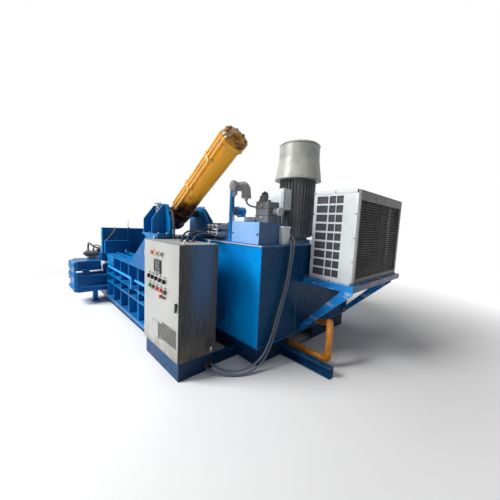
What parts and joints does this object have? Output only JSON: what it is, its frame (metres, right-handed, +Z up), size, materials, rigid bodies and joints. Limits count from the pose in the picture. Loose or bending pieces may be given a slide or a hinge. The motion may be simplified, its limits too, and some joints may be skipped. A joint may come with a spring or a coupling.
{
  "type": "recycling baler",
  "caption": "Hydraulic scrap baling press with a hinged lid, two rams, a bale outlet door, a power pack with cooler and a control cabinet.",
  "frame": {"origin": "on the floor in the press's middle plane, at the middle of a skid tie", "axes": "+X from the bale chamber towards the power pack, +Y away from the control cabinet, +Z up"},
  "size_m": [4.668, 3.6953, 2.82],
  "materials": {
    "press_blue": "gloss machine paint",
    "liner_steel": "worn bare steel",
    "cylinder_yellow": "gloss machine paint",
    "rod_chrome": "polished chrome",
    "pin_steel": "machined steel",
    "stainless": "brushed stainless sheet",
    "knob_black": "matt black",
    "button_green": "gloss",
    "button_red": "gloss",
    "instrument": "matt",
    "switch_grey": "matt moulded",
    "motor_grey": "satin machine paint",
    "cooler_white": "powder coat",
    "radiator": "fins",
    "valve_grey": "phosphated casting",
    "pipe_grey": "satin",
    "pipe_orange": "gloss machine paint",
    "hose_blue": "smooth hose cover",
    "conduit": "corrugated sheath"
  },
  "bodies": {
    "frame": {"press_skid": "press_blue", "near_side_frame": "press_blue", "far_side_frame": "press_blue", "box_floor": "press_blue", "wear_liners": "liner_steel", "rear_yoke": "press_blue", "near_pedestal": "press_blue", "far_pedestal": "press_blue", "bale_chamber": "press_blue", "feed_barrel": "cylinder_yellow", "main_cylinder": "cylinder_yellow", "chamber_valve": "valve_grey", "lid_hinge_pin": "pin_steel", "pack_skid": "press_blue", "oil_tank": "press_blue", "tank_cover": "press_blue", "pump": "valve_grey", "motor_frame": "motor_grey", "motor_cowl": "motor_grey", "terminal_box": "motor_grey", "valve_block": "valve_grey", "valve_rows": "valve_grey", "return_bend": "pipe_grey", "suction_pipe": "pipe_orange", "cooler_shelf": "press_blue", "cooler_case": "cooler_white", "cooler_core": "radiator", "cabinet_shell": "stainless", "switchgear": "switch_grey", "conduit_1": "conduit", "conduit_2": "conduit", "sensor_cable": "hose_blue", "pilot_hose_upper": "hose_blue", "pilot_hose_lower": "hose_blue"},
    "lid": {"lid": "press_blue", "clevis_pin": "pin_steel"},
    "lid_cylinder": {"lid_barrel": "cylinder_yellow", "barrel_cap": "cylinder_yellow", "barrel_pipe": "cylinder_yellow"},
    "lid_rod": {"lid_rod": "rod_chrome"},
    "feed_ram": {"feed_ram": "press_blue"},
    "feed_stage": {"feed_stage": "rod_chrome"},
    "main_ram": {"main_ram": "press_blue"},
    "outlet_door": {"outlet_door": "press_blue"},
    "latch_bolt": {"latch_bolt": "rod_chrome"},
    "motor_rotor": {"motor_rotor": "pin_steel"},
    "cooler_fan": {"cooler_fan": "knob_black"},
    "cabinet_door": {"cabinet_door": "stainless", "door_instruments": "instrument"},
    "door_lock": {"door_lock": "knob_black"},
    "selector_1": {"selector_1": "knob_black"},
    "selector_2": {"selector_2": "knob_black"},
    "selector_3": {"selector_3": "knob_black"},
    "selector_4": {"selector_4": "knob_black"},
    "selector_5": {"selector_5": "knob_black"},
    "push_button_1": {"push_button_1": "button_green"},
    "push_button_2": {"push_button_2": "knob_black"},
    "push_button_3": {"push_button_3": "button_red"},
    "push_button_4": {"push_button_4": "button_red"},
    "push_button_5": {"push_button_5": "knob_black"}
  },
  "joints": [
    {"name": "lid_hinge", "type": "hinge", "parent": "frame", "child": "lid", "pos_m": [0.131, 0, 1.02], "axis": [0, 1, 0], "range_deg": [0, 65]},
    {"name": "lid_cylinder_trunnion", "type": "hinge", "parent": "frame", "child": "lid_cylinder", "pos_m": [0.35, 0, 1.76], "axis": [0, 1, 0], "range_deg": [0, 32.5]},
    {"name": "lid_rod_slide", "type": "slide", "parent": "lid_cylinder", "child": "lid_rod", "axis": [-0.8339, 0, -0.5519], "range_m": [-0.7, 0]},
    {"name": "feed_ram_slide", "type": "slide", "parent": "frame", "child": "feed_ram", "axis": [-1, 0, 0], "range_m": [0, 1.8]},
    {"name": "feed_stage_slide", "type": "slide", "parent": "frame", "child": "feed_stage", "axis": [-1, 0, 0], "range_m": [0, 0.9]},
    {"name": "main_ram_slide", "type": "slide", "parent": "frame", "child": "main_ram", "axis": [0, -1, 0], "range_m": [0, 1.21]},
    {"name": "outlet_door_hinge", "type": "hinge", "parent": "frame", "child": "outlet_door", "pos_m": [-2.216, -0.952, 0.62], "axis": [0, 0, -1], "range_deg": [0, 100]},
    {"name": "latch_bolt_slide", "type": "slide", "parent": "frame", "child": "latch_bolt", "axis": [0, 1, 0], "range_m": [0, 0.06]},
    {"name": "motor_spin", "type": "hinge", "parent": "frame", "child": "motor_rotor", "pos_m": [1.3, 1.39, 2], "axis": [0, 0, 1], "continuous": true},
    {"name": "cooler_fan_spin", "type": "hinge", "parent": "frame", "child": "cooler_fan", "pos_m": [2.079, 2.5, 1.52], "axis": [0, 1, 0], "continuous": true},
    {"name": "cabinet_door_hinge", "type": "hinge", "parent": "frame", "child": "cabinet_door", "pos_m": [0.561, -0.574, 0.8], "axis": [0, 0, -1], "range_deg": [0, 115]},
    {"name": "door_lock_turn", "type": "hinge", "parent": "cabinet_door", "child": "door_lock", "pos_m": [1.405, -0.583, 0.8], "axis": [0, 1, 0], "range_deg": [0, 90]},
    {"name": "selector_1_turn", "type": "hinge", "parent": "cabinet_door", "child": "selector_1", "pos_m": [0.738, -0.583, 0.987], "axis": [0, 1, 0], "range_deg": [-45, 45]},
    {"name": "selector_2_turn", "type": "hinge", "parent": "cabinet_door", "child": "selector_2", "pos_m": [0.838, -0.583, 0.987], "axis": [0, 1, 0], "range_deg": [-45, 45]},
    {"name": "selector_3_turn", "type": "hinge", "parent": "cabinet_door", "child": "selector_3", "pos_m": [0.938, -0.583, 0.987], "axis": [0, 1, 0], "range_deg": [-45, 45]},
    {"name": "selector_4_turn", "type": "hinge", "parent": "cabinet_door", "child": "selector_4", "pos_m": [1.038, -0.583, 0.987], "axis": [0, 1, 0], "range_deg": [-45, 45]},
    {"name": "selector_5_turn", "type": "hinge", "parent": "cabinet_door", "child": "selector_5", "pos_m": [1.138, -0.583, 0.987], "axis": [0, 1, 0], "range_deg": [-45, 45]},
    {"name": "push_button_1_press", "type": "slide", "parent": "cabinet_door", "child": "push_button_1", "axis": [0, 1, 0], "range_m": [0, 0.005], "stiffness_N_per_m": 600},
    {"name": "push_button_2_press", "type": "slide", "parent": "cabinet_door", "child": "push_button_2", "axis": [0, 1, 0], "range_m": [0, 0.005], "stiffness_N_per_m": 600},
    {"name": "push_button_3_press", "type": "slide", "parent": "cabinet_door", "child": "push_button_3", "axis": [0, 1, 0], "range_m": [0, 0.005], "stiffness_N_per_m": 600},
    {"name": "push_button_4_press", "type": "slide", "parent": "cabinet_door", "child": "push_button_4", "axis": [0, 1, 0], "range_m": [0, 0.005], "stiffness_N_per_m": 600},
    {"name": "push_button_5_press", "type": "slide", "parent": "cabinet_door", "child": "push_button_5", "axis": [0, 1, 0], "range_m": [0, 0.005], "stiffness_N_per_m": 600}
  ],
  "couplings": [
    {"joint": "lid_cylinder_trunnion", "follows": "lid_hinge", "ratio": 0.5},
    {"joint": "lid_rod_slide", "follows": "lid_hinge", "m_per_rad": -0.615},
    {"joint": "feed_stage_slide", "follows": "feed_ram_slide", "ratio": 0.5}
  ]
}
